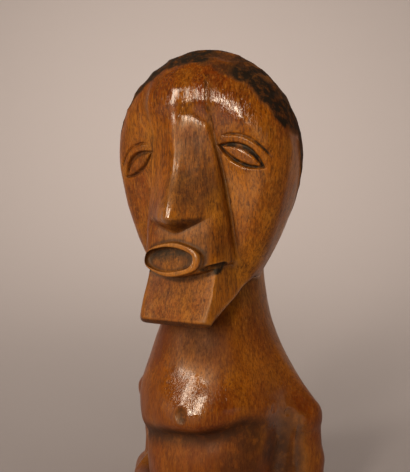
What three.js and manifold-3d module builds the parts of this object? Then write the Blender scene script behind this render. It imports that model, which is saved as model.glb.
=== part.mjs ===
// A carved wooden figure of the Songye style, shown as a bust: head, long neck, chest and bent arms, cut flat
// below. It is one piece of hardwood, so it is one solid. Millimetres, +Z up, the face looks along -Y, and the
// figure's own left is +X. The origin is the middle of the flat underside. In the functions below, "forward" is
// the distance towards -Y.
//
// The form is built as a carver roughs it out: an egg for the skull with the face cut back to a plane, a long
// wedge for the nose, a muzzle under it, a square chin, and a bottle-shaped neck and chest with the arms on it.
import * as THREE from 'three';
import { mergeVertices } from 'three/addons/utils/BufferGeometryUtils.js';
import Module from 'manifold-3d';

const wasm = await Module();
wasm.setup();

// Skull: an egg, widest at the temples and tapering to the nape
const WIDEST_Z = 160.6; // height of the widest level
const CROWN_RISE = 45.3; // from the widest level to the crown
const HEAD_HALF_WIDTH = 42.3;
const WIDEST_FORWARD = 8.6; // where the egg is widest
const FACE_FORWARD = 35.5; // front of the egg, before the face is cut back
const HEAD_BACKWARD = 41.5;
const TAPER_LENGTH = 85; // the sides would meet this far below the widest level
const TAPER_POWER = 1.72;
const NAPE_Z = 108.5; // underside of the skull at the neck

// Face: cut back on both sides of the nose to a nearly flat surface, as [height, forward] pairs
const FACE_LEVEL = [[200, 33.6], [184, 30.4], [163, 25.6], [150, 22.6], [133, 20.8], [116, 18.8],
  [100, 16.8]];
const FACE_SLOPE = 0.1; // it falls back by this much for each millimetre outwards
const BROW_ROUNDING = 8;

// Nose: a long wedge from the forehead to the tip, as [height, value] pairs
const RIDGE = [[200, 17], [192, 26.6], [184, 30.9], [173, 31.2], [162, 30.8], [150, 32.8], [134, 37.3],
  [116, 39]];
const WEDGE_EDGE = [[200, 15], [192, 24.3], [184, 28.9], [173, 26.7], [162, 24.3], [150, 23.1], [133, 22],
  [116, 19.6], [105, 18.3]];
const WEDGE_HALF_WIDTH = [[200, 10], [184, 12.2], [173, 13.6], [162, 15.4], [150, 17], [133, 19.1],
  [116, 20.5], [105, 20.2]];
const RIDGE_ROUNDING = 2.4;
const WALL_FLARE = 0.16; // the wedge's side walls widen by this much for each millimetre back
const NOSE_TOP = 200; // ends inside the brow
const NOSE_Z = 133.4; // lower edge of the nose
const NOSE_UNDERCUT = 0.8; // the underside falls by this much for each millimetre back

// Muzzle: carries the mouth, and overhangs the chin
const LIP_FORWARD = 29.3;
const LIP_CURVE = 0.012;
const MUZZLE_FORWARD = 29.4;
const MUZZLE_SQUARENESS = 5;
const MUZZLE_FADE = { forward: 18, z: 142, slope: 1.1 }; // plane that ends the muzzle under the nose's sides
const MUZZLE_UNDER_Z = 110.3;
const MUZZLE_UNDER_RISE = 0.013; // the underside curls up towards the cheeks
const NOTCH = { from: [13.5, 29.5, 112.2], to: [21.6, 20.5, 113.6], r: 1.8 }; // behind the mouth's corner

// Mouth: an oval boss with a scooped middle
const MOUTH_Z = 116.5;
const MOUTH_HALF_WIDTH = 14.2;
const MOUTH_HALF_HEIGHT = 7;
const MOUTH_FORWARD = 32.5;
const LIP_WIDTH = 2.3;
const MOUTH_SCOOP = 2.2;

// Chin: a square block that juts forward and down
const CHIN_TOP = { forward: 25.6, z: 110 };
const CHIN_TOE = { forward: 32.2, z: 89.4 };
const CHIN_HALF_WIDTH = 16.8;
const CHIN_FLARE = 0.3;
const CHIN_CHAMFER = 1.6;
const JAW_SLOPE = 0.72; // the jaw's underside climbs by this much for each millimetre back

// Eyes: almond pockets, each with a lens-shaped ball
const EYE_INNER = { x: 15.8, z: 162.4 };
const EYE_OUTER = { x: 34.2, z: 153 };
const EYE_HALF_HEIGHT = 4.9;
const EYE_DEPTH = 1.6;

// Neck and trunk: half width, half depth and middle at each height
const TRUNK_HALF_WIDTH = [[122, 21], [110, 21.2], [98, 22.8], [86, 25.6], [76, 28.6], [66, 32], [58, 33.8],
  [50, 33.8], [44, 32.6], [34, 31], [18, 29], [0, 28]];
const TRUNK_HALF_DEPTH = [[122, 21], [110, 21.2], [98, 22.4], [86, 24.4], [76, 26], [66, 27.4], [58, 28.2],
  [51, 27.6], [46, 26], [43.8, 25.2], [41, 25.6], [34, 25.8], [18, 25], [0, 25]];
const TRUNK_MIDDLE = [[122, -4.5], [98, -4.5], [76, -3.5], [58, -1], [0, -1]];
const TRUNK_SQUARENESS = 2.2;
const CHEST_EDGE_Z = 44; // lower edge of the chest, which climbs to the figure's left
const CHEST_TILT = 0.22;
const CHEST_TILT_REACH = 16;

// Arms: bent, with the forearms level and the hands on the belly
const SHOULDER_ROOT = { x: 15, forward: -6, z: 72, r: 13.5 };
const SHOULDER = { x: 40.3, forward: -9.8, z: 50.5, r: 7.3 };
const ARM_TOP = { x: 40.4, forward: -11, z: 47, r: 6.3 };
const ARM_MIDDLE = { x: 40.4, forward: -14.8, z: 30, r: 6 };
const ARM_END = { x: 41.2, forward: -14.5, z: 9, r: 6.6 };
const ELBOW = { x: 42.8, forward: -14, z: 7.4, r: 9.4 };
const WRIST = { x: 26, forward: 14, z: 7, r: 7.6 };
const HAND = { x: 13.5, forward: 24, z: 6.2, r: 6.6 };
const WEB = { x: 38, back: -20, front: -7, top: 47 }; // wood left between the arms and the trunk

// Smooth curve through [height, value] pairs, listed from the top down
function through(pairs, z) {
  const last = pairs.length - 1;
  if (z >= pairs[0][0]) return pairs[0][1];
  if (z <= pairs[last][0]) return pairs[last][1];
  let i = 0;
  while (z < pairs[i + 1][0]) i++;
  const slope = (k) => {
    const a = pairs[Math.max(k - 1, 0)];
    const b = pairs[Math.min(k + 1, last)];
    return (b[1] - a[1]) / (b[0] - a[0]);
  };
  const [z0, v0] = pairs[i];
  const [z1, v1] = pairs[i + 1];
  const h = z1 - z0;
  const t = (z - z0) / h;
  return (1 + 2 * t) * (1 - t) ** 2 * v0 + t * (1 - t) ** 2 * h * slope(i)
    + t * t * (3 - 2 * t) * v1 + t * t * (t - 1) * h * slope(i + 1);
}

// The masses are distance functions, negative inside the wood. These join two of them, or keep what they
// share, with a rounding of about r.
function join(a, b, r) {
  const h = Math.max(r - Math.abs(a - b), 0) / r;
  return Math.min(a, b) - h * h * r * 0.25;
}
const keep = (a, b, r) => -join(-a, -b, r);

// Rounded bar from p to q, each with its own radius
function bar(x, f, z, p, q) {
  const dx = q.x - p.x;
  const df = q.forward - p.forward;
  const dz = q.z - p.z;
  const ax = x - p.x;
  const af = f - p.forward;
  const az = z - p.z;
  const t = THREE.MathUtils.clamp((ax * dx + af * df + az * dz) / (dx * dx + df * df + dz * dz), 0, 1);
  return Math.hypot(ax - t * dx, af - t * df, az - t * dz) - THREE.MathUtils.lerp(p.r, q.r, t);
}

function egg(x, f, z) {
  const g = f - WIDEST_FORWARD;
  const depth = g > 0 ? FACE_FORWARD - WIDEST_FORWARD : HEAD_BACKWARD + WIDEST_FORWARD;
  const plan = Math.hypot(x / HEAD_HALF_WIDTH, g / depth);
  const rise = z - WIDEST_Z;
  if (rise >= 0) {
    const size = Math.hypot(plan, rise / CROWN_RISE);
    return Math.hypot(x, g, rise) * (1 - 1 / Math.max(size, 1e-6));
  }
  const size = plan / Math.max(1 - (-rise / TAPER_LENGTH) ** TAPER_POWER, 0.05);
  return Math.hypot(x, g) * (1 - 1 / Math.max(size, 1e-6));
}

const jawZ = (f) => CHIN_TOE.z + JAW_SLOPE * (CHIN_TOE.forward - f);

function skull(x, f, z) {
  const face = (f - through(FACE_LEVEL, z) + FACE_SLOPE * Math.abs(x)) * 0.96;
  const under = Math.min(NAPE_Z - z, (jawZ(f) - z) / Math.hypot(1, JAW_SLOPE));
  return keep(keep(egg(x, f, z), face, BROW_ROUNDING), under, 2);
}

function trunk(x, f, z) {
  const tilt = CHEST_TILT * x * Math.exp(-(((z - CHEST_EDGE_Z) / CHEST_TILT_REACH) ** 2));
  const g = f - through(TRUNK_MIDDLE, z);
  const across = Math.abs(x / through(TRUNK_HALF_WIDTH, z)) ** TRUNK_SQUARENESS;
  const along = Math.abs(g / through(TRUNK_HALF_DEPTH, z - tilt)) ** TRUNK_SQUARENESS;
  const size = (across + along) ** (1 / TRUNK_SQUARENESS);
  return Math.hypot(x, g) * (1 - 1 / Math.max(size, 1e-6));
}

const mantle = (x, f, z) => join(trunk(x, f, z), bar(Math.abs(x), f, z, SHOULDER_ROOT, SHOULDER), 9);

// Draws each vertex of a mesh in along its own ray until it meets the mass
function drawIn(geometry, ray, mass) {
  const place = geometry.attributes.position;
  const from = new THREE.Vector3();
  const towards = new THREE.Vector3();
  const at = new THREE.Vector3();
  for (let i = 0; i < place.count; i++) {
    at.fromBufferAttribute(place, i);
    ray(at, from, towards);
    const inside = (r) => {
      at.copy(from).addScaledVector(towards, r);
      return mass(at.x, -at.y, at.z) < 0;
    };
    let far = 75;
    while (far > 0.5 && !inside(far)) far -= 0.5;
    let near = far;
    far += 0.5;
    for (let k = 0; k < 20; k++) {
      const middle = (near + far) / 2;
      if (inside(middle)) near = middle;
      else far = middle;
    }
    at.copy(from).addScaledVector(towards, towards.lengthSq() ? near : 0);
    place.setXYZ(i, at.x, at.y, at.z);
  }
  return solid(geometry);
}

// The skull's ball has more columns at the face
const HEAD_COLUMNS = 64;
const HEAD_ROWS = 30;
const HEAD_CENTRE = new THREE.Vector3(0, 0, 138);
const FACE_CROWDING = 0.3;
function skullBall() {
  const ball = new THREE.SphereGeometry(1, HEAD_COLUMNS, HEAD_ROWS);
  ball.rotateX(Math.PI / 2);
  return drawIn(ball, (vertex, from, towards) => {
    const turn = Math.atan2(vertex.x, vertex.y);
    const azimuth = turn + FACE_CROWDING * Math.sin(turn);
    const level = Math.hypot(vertex.x, vertex.y);
    from.copy(HEAD_CENTRE);
    towards.set(Math.sin(azimuth) * level, Math.cos(azimuth) * level, vertex.z);
  }, skull);
}

// The body's drum has more columns at the shoulders, and more rows from the chest down
const BODY_COLUMNS = 56;
const BODY_ROWS = 21;
const DRUM_TOP = 122; // inside the head
const SHOULDER_CROWDING = 0.25;
const LOW_CROWDING = 1.3;
function bodyDrum() {
  const drum = new THREE.CylinderGeometry(1, 1, 1, BODY_COLUMNS, BODY_ROWS);
  drum.rotateX(Math.PI / 2);
  return drawIn(drum, (vertex, from, towards) => {
    const level = THREE.MathUtils.clamp(vertex.z + 0.5, 0, 1);
    const turn = Math.atan2(vertex.x, -vertex.y);
    const azimuth = turn + SHOULDER_CROWDING * Math.sin(2 * turn);
    const reach = Math.round(Math.hypot(vertex.x, vertex.y));
    from.set(0, 2, DRUM_TOP * level ** LOW_CROWDING);
    towards.set(Math.sin(azimuth) * reach, -Math.cos(azimuth) * reach, 0);
  }, mantle);
}

// Half of an arm: a ball drawn in onto two bars that share a joint
function limb(p, q, r, side) {
  const middle = new THREE.Vector3(side * q.x, -q.forward, q.z);
  return drawIn(new THREE.SphereGeometry(1, 16, 14), (vertex, from, towards) => {
    from.copy(middle);
    towards.copy(vertex);
  }, (x, f, z) => join(bar(side * x, f, z, p, q), bar(side * x, f, z, q, r), 3));
}

function arms() {
  let wood = solid(new THREE.BoxGeometry(2 * WEB.x, WEB.front - WEB.back, WEB.top)
    .translate(0, -(WEB.front + WEB.back) / 2, WEB.top / 2));
  for (const side of [1, -1]) {
    wood = wood.add(limb(ARM_TOP, ARM_MIDDLE, ARM_END, side)).add(limb(ELBOW, WRIST, HAND, side));
  }
  const below = new THREE.BoxGeometry(200, 200, 40).translate(0, 0, -20);
  return wood.subtract(solid(below));
}

// Front of the nose's wedge, and of the muzzle below it, over a point of the face
function wedgeFront(x, z) {
  const ridge = through(RIDGE, z);
  const slope = (ridge - through(WEDGE_EDGE, z)) / through(WEDGE_HALF_WIDTH, z);
  return ridge - slope * (Math.hypot(x, RIDGE_ROUNDING) - 0.6 * RIDGE_ROUNDING);
}

function muzzleFront(x, z) {
  const halfWidth = through(WEDGE_HALF_WIDTH, z) + 0.01;
  const bow = (1 - Math.min(Math.abs(x) / halfWidth, 1) ** MUZZLE_SQUARENESS) ** (1 / MUZZLE_SQUARENESS);
  const fade = MUZZLE_FADE.forward + (MUZZLE_FADE.z - z) / MUZZLE_FADE.slope;
  const lip = join(wedgeFront(x, z), LIP_FORWARD - LIP_CURVE * x * x, 1);
  return Math.max(lip, join(bow * MUZZLE_FORWARD, fade, 3));
}

// A slab that stands out of the face: its front follows a surface, and its side walls flare backwards
const SLAB_BACK = 8;
function slab(columns, rows, front, lowZ, highZ) {
  const box = new THREE.BoxGeometry(2, 1, 1, columns, 1, rows);
  const place = box.attributes.position;
  for (let i = 0; i < place.count; i++) {
    const isFront = place.getY(i) < 0;
    const u = place.getX(i);
    let z = highZ;
    let x = 0;
    let f = SLAB_BACK;
    for (let k = 0; k < 4; k++) {
      x = u * through(WEDGE_HALF_WIDTH, z);
      f = isFront ? front(x, z) : SLAB_BACK;
      z = THREE.MathUtils.lerp(lowZ(x, isFront), highZ, place.getZ(i) + 0.5);
    }
    const flare = isFront ? 0 : u * WALL_FLARE * (through(WEDGE_EDGE, z) - SLAB_BACK);
    place.setXYZ(i, x + flare, -f, z);
  }
  return solid(box);
}

const noseLow = (x, isFront) => NOSE_Z - (isFront ? 0 : NOSE_UNDERCUT * (wedgeFront(x, NOSE_Z) - SLAB_BACK));
const noseSlab = () => slab(12, 20, wedgeFront, noseLow, NOSE_TOP);
const muzzleSlab = () => slab(18, 12, muzzleFront, (x) => MUZZLE_UNDER_Z + MUZZLE_UNDER_RISE * x * x, 150);

// Chin: the side view of the block, swept across and flared backwards
function chinBlock() {
  const lean = (CHIN_TOE.forward - CHIN_TOP.forward) / (CHIN_TOP.z - CHIN_TOE.z);
  const frontAt = (z) => CHIN_TOE.forward - lean * (z - CHIN_TOE.z);
  const back = 4;
  const top = 120;
  const side = new THREE.Shape([
    new THREE.Vector2(back, jawZ(back)),
    new THREE.Vector2(CHIN_TOE.forward - CHIN_CHAMFER, jawZ(CHIN_TOE.forward - CHIN_CHAMFER)),
    new THREE.Vector2(frontAt(CHIN_TOE.z + CHIN_CHAMFER), CHIN_TOE.z + CHIN_CHAMFER),
    new THREE.Vector2(frontAt(top), top),
    new THREE.Vector2(back, top),
  ]);
  const block = new THREE.ExtrudeGeometry(side, { depth: 2, steps: 2, bevelEnabled: false });
  const place = block.attributes.position;
  for (let i = 0; i < place.count; i++) {
    const f = place.getX(i);
    const z = place.getY(i);
    const halfWidth = CHIN_HALF_WIDTH + CHIN_FLARE * (frontAt(z) - f);
    place.setXYZ(i, (1 - place.getZ(i)) * halfWidth, -f, z);
  }
  return solid(block);
}

// Mouth: oval boss, then the scoop out of its middle
function mouthBoss() {
  const depth = MOUTH_FORWARD - 20;
  const boss = new THREE.CylinderGeometry(1.08, 1, depth, 36);
  boss.scale(MOUTH_HALF_WIDTH, 1, MOUTH_HALF_HEIGHT);
  boss.translate(0, -MOUTH_FORWARD + depth / 2, MOUTH_Z);
  return solid(boss);
}

function mouthScoop() {
  const scoop = new THREE.SphereGeometry(1, 32, 8);
  scoop.scale(MOUTH_HALF_WIDTH - LIP_WIDTH, MOUTH_SCOOP, MOUTH_HALF_HEIGHT - LIP_WIDTH);
  scoop.translate(0, -MOUTH_FORWARD, MOUTH_Z);
  return solid(scoop);
}

function notch(side) {
  const from = new THREE.Vector3(side * NOTCH.from[0], -NOTCH.from[1], NOTCH.from[2]);
  const to = new THREE.Vector3(side * NOTCH.to[0], -NOTCH.to[1], NOTCH.to[2]);
  const gouge = new THREE.CapsuleGeometry(NOTCH.r, from.distanceTo(to), 4, 12);
  const middle = from.clone().lerp(to, 0.5);
  const turn = new THREE.Quaternion().setFromUnitVectors(new THREE.Vector3(0, 1, 0), to.sub(from).normalize());
  gouge.applyQuaternion(turn).translate(middle.x, middle.y, middle.z);
  return solid(gouge);
}

// How far forward the skull's surface stands at a point of the face
function skullForward(x, z) {
  let f = 45;
  while (f > 0 && skull(x, f, z) > 0) f -= 0.05;
  return f;
}

// Eye: an almond in the slanted plane of the cheek, as a pocket and as the ball that stands in it
function eye(side) {
  const inner = new THREE.Vector3(side * EYE_INNER.x, -skullForward(EYE_INNER.x, EYE_INNER.z), EYE_INNER.z);
  const outer = new THREE.Vector3(side * EYE_OUTER.x, -skullForward(EYE_OUTER.x, EYE_OUTER.z), EYE_OUTER.z);
  const [left, right] = side > 0 ? [inner, outer] : [outer, inner];
  const middle = left.clone().lerp(right, 0.5);
  const bulge = skullForward(Math.abs(middle.x), middle.z) + middle.y;
  const along = right.clone().sub(left);
  const halfLength = along.length() / 2;
  along.normalize();
  const out = new THREE.Vector3(0, -1, 0);
  out.addScaledVector(along, -out.dot(along)).normalize();
  const frame = new THREE.Matrix4().makeBasis(along, out.clone().cross(along), out).setPosition(middle);

  const almond = new THREE.Shape();
  almond.moveTo(-halfLength, 0);
  almond.quadraticCurveTo(0, -2 * EYE_HALF_HEIGHT, halfLength, 0);
  almond.quadraticCurveTo(0, 2 * EYE_HALF_HEIGHT, -halfLength, 0);
  const pocket = new THREE.ExtrudeGeometry(almond, { depth: 8, bevelEnabled: false, curveSegments: 10 });
  pocket.translate(0, 0, bulge - EYE_DEPTH).applyMatrix4(frame);
  const ball = new THREE.SphereGeometry(1, 20, 8);
  ball.scale(halfLength * 0.74, EYE_HALF_HEIGHT * 0.62, EYE_DEPTH * 1.15);
  ball.translate(0, 0, bulge - EYE_DEPTH).applyMatrix4(frame);
  return { pocket: solid(pocket), ball: solid(ball) };
}

function solid(geometry) {
  geometry.deleteAttribute('normal');
  geometry.deleteAttribute('uv');
  const merged = mergeVertices(geometry, 1e-4);
  return new wasm.Manifold(new wasm.Mesh({
    numProp: 3,
    vertProperties: new Float32Array(merged.attributes.position.array),
    triVerts: new Uint32Array(merged.index.array),
  }));
}

function geometryOf(manifold) {
  const mesh = manifold.getMesh();
  const geometry = new THREE.BufferGeometry();
  geometry.setAttribute('position', new THREE.BufferAttribute(new Float32Array(mesh.vertProperties), 3));
  geometry.setIndex(new THREE.BufferAttribute(new Uint32Array(mesh.triVerts), 1));
  geometry.computeVertexNormals();
  return geometry;
}

function figure() {
  let wood = skullBall().add(noseSlab()).add(muzzleSlab());
  for (const side of [1, -1]) {
    const { pocket, ball } = eye(side);
    wood = wood.subtract(notch(side)).subtract(pocket).add(ball);
  }
  wood = wood.add(chinBlock()).add(mouthBoss()).subtract(mouthScoop());
  return geometryOf(wood.add(bodyDrum()).add(arms()));
}

const hardwood = new THREE.MeshStandardMaterial({ color: 0x7a4318, roughness: 0.38, metalness: 0 });
const mesh = new THREE.Mesh(figure(), hardwood);
mesh.name = 'figure';

const group = new THREE.Group();
group.add(mesh);

export default group;
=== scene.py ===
# Visual model of a carved hardwood figure, shown as a bust: head, long neck, chest and bent arms.
# The solid's mesh is copied, made even, and carved: its vertices are drawn onto the smooth masses that a
# carver roughs out, and then the eyes, the hair's gouge cuts, the chest's curled edge and the knife's facets
# are cut. Sizes and places in this script are millimetres, and MM turns them to Blender's metres. The face
# looks along -Y, +X is the figure's own left, and "forward" (f in formulas) is the distance towards -Y.
import math

import bmesh
import bpy
import numpy as np
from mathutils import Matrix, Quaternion, Vector


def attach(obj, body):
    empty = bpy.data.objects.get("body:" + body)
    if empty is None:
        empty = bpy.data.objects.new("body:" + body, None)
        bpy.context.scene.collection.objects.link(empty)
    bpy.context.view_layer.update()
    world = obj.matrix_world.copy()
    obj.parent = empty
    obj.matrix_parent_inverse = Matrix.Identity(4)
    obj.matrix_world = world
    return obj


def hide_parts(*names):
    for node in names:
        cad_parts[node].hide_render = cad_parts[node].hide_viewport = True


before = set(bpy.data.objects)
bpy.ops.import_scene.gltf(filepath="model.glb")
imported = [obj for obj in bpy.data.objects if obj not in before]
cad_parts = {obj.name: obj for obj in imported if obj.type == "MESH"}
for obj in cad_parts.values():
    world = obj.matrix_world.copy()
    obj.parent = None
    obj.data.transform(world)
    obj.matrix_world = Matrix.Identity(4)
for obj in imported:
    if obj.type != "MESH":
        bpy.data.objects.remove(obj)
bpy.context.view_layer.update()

MM = 0.001

# The photograph: 410 x 472 pixels, the camera level with the upper lip and 30 degrees towards the figure's
# left. Distance and height are millimetres from the figure's axis and base
VIEW_AZIMUTH = math.radians(30)
VIEW_DISTANCE = 236.25
VIEW_HEIGHT = 126
LENS = 40.04
IMAGE_HEIGHT = 472
AXIS_RIGHT_OF_CENTRE = 7  # pixels from the middle of the picture to the figure's axis

# Skull: an egg, widest at the temples and tapering to the nape
WIDEST_Z = 160.6
CROWN_RISE = 45.3
HEAD_HALF_WIDTH = 42.3
WIDEST_FORWARD = 8.6
FACE_FORWARD = 35.5
HEAD_BACKWARD = 41.5
TAPER_LENGTH = 85
TAPER_POWER = 1.72
NAPE_Z = 108.5

# Face, cut back on both sides of the nose, as [height, forward] pairs
FACE_LEVEL = [[200, 33.6], [184, 30.4], [163, 25.6], [150, 22.6], [133, 20.8], [116, 18.8], [100, 16.8]]
FACE_SLOPE = 0.1
BROW_ROUNDING = 8

# Nose: a long wedge, as [height, value] pairs. It sinks into the forehead at its top
RIDGE = [[200, 18], [192, 27.4], [184, 30.9], [173, 31.2], [162, 30.8], [150, 32.8], [134, 37.3], [116, 39]]
WEDGE_EDGE = [[200, 14], [192, 24], [184, 28], [173, 26.7], [162, 24.3], [150, 23.1], [133, 22],
              [116, 19.6], [105, 18.3]]
WEDGE_HALF_WIDTH = [[200, 10], [184, 12.2], [173, 13.6], [162, 15.4], [150, 17], [133, 19.1], [116, 20.5],
                    [105, 20.2]]
RIDGE_ROUNDING = 2.4
WALL_FLARE = 0.16
NOSE_TOP = 200
SINK_Z = (184, 198)
SINK = 2.5
BLEND_Z = (168, 182)
BLEND = 7
NOSE_Z = 131.4
NOSE_RISE = 0.009  # the nose's lower edge rises towards the wings by this times x squared
NOSE_UNDERCUT = 0.5
NOSE_EDGE = 0.8
TIP_ROUNDING = 1.5  # more than at the edges
TIP_Z = (125, 129)
TIP_X = (8, 17)

# Muzzle, the notch beside the mouth, and the mouth
LIP_FORWARD = 29.3
LIP_CURVE = 0.012
MUZZLE_FORWARD = 29.4
MUZZLE_SQUARENESS = 5
MUZZLE_TOP = 142
MUZZLE_FADE_FORWARD = 18
MUZZLE_FADE = 1.1
MUZZLE_UNDER_Z = 110.3
MUZZLE_UNDER_RISE = 0.013
MUZZLE_FOOT_Z = (111, 119)
MUZZLE_FOOT_BLEND = 3
SLAB_BACK = 6
NOTCH_FRONT = (13.2, 30, 111.8, 1.7)
NOTCH_BACK = (19.4, 23.4, 113.4, 2.2)
MOUTH_Z = 116.5
MOUTH_HALF_WIDTH = 13.4
MOUTH_X = -0.8
MOUTH_HALF_HEIGHT = 7
MOUTH_FORWARD = 32.5
MOUTH_CURVE = 0.012  # the near half falls back by this times x squared
MOUTH_CORNERS = 0.014  # the oval is cut in straight lengths
LIP_WIDTH = 2.2
MOUTH_SCOOP = 2.4
SCOOP_SHIFT = (1.4, 0.1)  # towards the figure's right, and up
MOUTH_LEAN = 0.26  # the mouth's floor lies deeper towards its top

# Chin: a square block that juts forward and down
CHIN_TOP_FORWARD = 25.6
CHIN_TOP_Z = 110
CHIN_TOE_FORWARD = 32.2
CHIN_TOE_Z = 89.4
CHIN_HALF_WIDTH = 16.8
CHIN_FLARE = 0.3
CHIN_KEEL = (3.2, -0.2)  # the lowest edge lies this far behind the toe, and above it
CHIN_BEVEL = 1.16  # slope of the narrow face between the front and the lowest edge
CHIN_UNDER_SLOPE = 0.86
CHIN_SKEW = 1.7  # the block's foot is wider on the figure's right
CHIN_EDGE = 1.4
CHIN_CORNER = 3.2  # more rounding at the two lower corners
CHIN_CORNER_HEIGHT = (2, 14)  # above the toe
JAW_SLOPE = 0.72

# Neck and trunk: half width, half depth and middle at each height
TRUNK_HALF_WIDTH = [[122, 21], [110, 21.2], [98, 22.8], [86, 25.6], [76, 28.6], [66, 32], [58, 33.8],
                    [50, 33.8], [44, 32.6], [34, 31], [18, 29], [0, 28]]
TRUNK_HALF_DEPTH = [[122, 21], [110, 21.2], [98, 22.4], [86, 24.4], [76, 26], [66, 27.4], [58, 28.2],
                    [51, 27.6], [46, 26], [43.8, 25.2], [41, 25.6], [34, 25.8], [18, 25], [0, 25]]
TRUNK_MIDDLE = [[122, -4.5], [98, -4.5], [76, -3.5], [58, -1], [0, -1]]
TRUNK_SQUARENESS = 2.2
TRUNK_TOP = 122
CHEST_EDGE_Z = 44
CHEST_TILT = 0.22
CHEST_TILT_REACH = 16

# Arms as rounded bars, each end as (x, forward, z, radius)
SHOULDER_ROOT = (15, -6, 72, 13.5)
SHOULDER = (40.3, -9.8, 50.5, 7.3)
ARM_TOP = (40.4, -11, 47, 6.3)
ARM_MIDDLE = (40.4, -14.8, 30, 6)
ARM_END = (41.2, -14.5, 9, 6.6)
ELBOW = (42.8, -14, 7.4, 9.4)
WRIST = (26, 14, 7, 7.6)
HAND = (13.5, 24, 6.2, 6.6)
WEB_X = (20, 38)
WEB_FORWARD = (-20, -3)
WEB_TOP = 47
ARM_FILLET = 8
BASE_ROUNDING = 0.5

# Knife line along the foot of the wall between the nose's wedge and the cheek
WALL_LINE = 0.9
WALL_LINE_DEPTH = 0.3

# Eyes, in a slanted plane of the cheek: corners and normal as (x, forward, z)
EYE_INNER = (15.8, 23.9, 162.2)
EYE_OUTER = (35, 18.5, 152)
EYE_NORMAL = (0.148, 0.963, -0.225)
UPPER_LID = 5.3
LOWER_LID = 3.9
LID_GROOVE = 1.6  # depth
LID_WALL = 1  # from the lid's edge to the groove's bottom
UPPER_BALL_EDGE = 3.7  # from the lid's edge to the ball
LOWER_BALL_EDGE = 2.7
BALL_SINK = 0.3
CREASE_PEAK = (-0.8, 8.1)  # along and above the eye's axis
CREASE_DROP = (0.039, 0.0227)  # towards the nose and towards the temple
CREASE_ENDS = (-11.5, 11.5)
CREASE_DEPTH = 0.9
CREASE_WIDTH = 1.3

# Hair: a cap cut all over with a gouge
HAIRLINE_Z = 196
HAIRLINE_DROP = 0.0165  # falls towards the temples by this times x squared
TEMPLE_Z = 165
TEMPLE_FORWARD = 2
TEMPLE_LEAN = 0.5
NECKLINE_Z = 126  # lower edge of the hair at the back
HAIR_RAISED = 0.25
HAIR_EDGE = 3
GOUGE_LENGTHS = (6, 13)
GOUGE_WIDTHS = (3, 5)
GOUGE_DEPTH = 0.6
GOUGE_SHALLOW = 0.35  # share of that depth low on the sides
GOUGE_DEEPER_Z = (168, 184)
GOUGE_SPACING = 6
GOUGE_SEED = 5
HAIR_BAND = (7, 12)  # the dark band inside the hairline ends here
BAND_GAP = ((9, 14), (18, 24))  # and is weak between these places on the figure's left

# The cuts along the hairline still hold all their stain: two ends as (x, forward, z), and the half width
HAIRLINE_CUTS = (
    ((-4, 23.9, 197.8), (14.5, 22.7, 196.2), 2.6),
    ((-7, 17.5, 202.8), (15, 14, 202.4), 2.6),
    ((26, 20.8, 188), (35.5, 16.3, 182), 3.6),
    ((32, 21, 180), (39, 14, 175.6), 2.6),
    ((37.5, 10.5, 181.6), (41, 3, 172), 3.2),
    ((41.5, 1, 170), (42.2, -5, 158), 2.4),
    ((42, -5, 157), (40, -11, 140), 2.4),
)

# Knife facets all over, worn soft by polishing
FACET_LENGTHS = (14, 24)
FACET_WIDTHS = (5, 9)
FACET_DEPTH = 0.34
FACET_SPACING = 9
FACET_SEED = 11

# Drying crack down the forehead, as [height, x] pairs
CRACK = [[192, 13], [185, 13.8], [177, 14.1], [169, 15.3], [164, 15.4]]
CRACK_WIDTH = 0.3
CRACK_DEPTH = 0.2

# The chest's lower edge curls under to a crease, as [x, height] pairs
FOLD = [[44, 40], [38.4, 45], [32, 47.4], [26, 48.6], [19, 46.4], [9, 44.5], [-5, 42.8], [-24, 38.5],
        [-34, 37]]
FOLD_HEIGHT = 7.4  # of the part that curls under
FOLD_DEPTH = 1.3
FOLD_START_X = (-34, -28)  # it fades in over this stretch,
FOLD_HALVES_X = (26, 34)  # halves over this one,
FOLD_END_X = (40, 46)  # and fades out over this one
FOLD_FORWARD = (-9, -1)
FOLD_RIM = 0.8  # height of the small rim above the fold on the shoulder
RIM_START_X = (24, 32)
RIM_END_X = (42, 47)
SWELL = 4.4  # the chest's front swells this far above the edge
SWELL_Z = (72, 47)  # from its top down to its full height
SWELL_X = 5
SWELL_REACH = 15
SWELL_FORWARD = (8, 18)

# Low swelling over the near brow
BROW_Z = 184
BROW_DROP = 0.0155
BROW_SWELL = 1
BROW_REACH = 6.5
BROW_START_X = (13, 20)
BROW_END_X = (35, 42)

# Small scars on the chest and the shoulder: (x, forward, z, radius, depth)
DENTS = (
    (3, 29.6, 54.4, 3.6, 1.1),
    (33.2, 7.6, 56, 1.6, 0.5),
    (36.7, 1.2, 53.4, 1.6, 0.5),
    (41.6, -2, 50, 1.5, 0.4),
)
RINGED_DEPTH = 0.9  # a scar deeper than this holds a dark ring

# Places painted darker, the same way: soot and old polish on the nose and the muzzle, soot and painted shade
# in the hollow under the near arm, painted shade on the neck under the chin: (x, forward, z, reach, how
# much)
SOOT_AND_SHADE = (
    (10, 30, 145, 15, 0.75), (9, 30, 159, 11, 0.5), (15, 27, 124, 11, 0.5),
    (26, 15, 44, 9, 0.9), (31, 3, 38, 11, 1), (32, -3, 32, 12, 0.9), (24, 18, 31, 15, 0.75),
    (25, 17, 47, 8, 0.8), (16, -6, 92, 22, 0.4), (6, 20, 84, 12, 0.6),
)

# Places where the scraper's fine scratches cross each other and glint, the same way
HATCH = (
    (10, 28, 185, 7, 1), (16, 27.5, 184, 7, 1), (21, 26, 179, 7, 1), (27, 24.3, 175.5, 7, 1),
    (31, 22.8, 171, 6, 1), (34, 21, 165, 5, 0.9),
    (1, 26, 66, 10, 0.3), (3, 27, 58, 9, 0.3), (21, 21, 62, 9, 0.3), (4, 30, 95, 10, 0.7),
)

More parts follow.
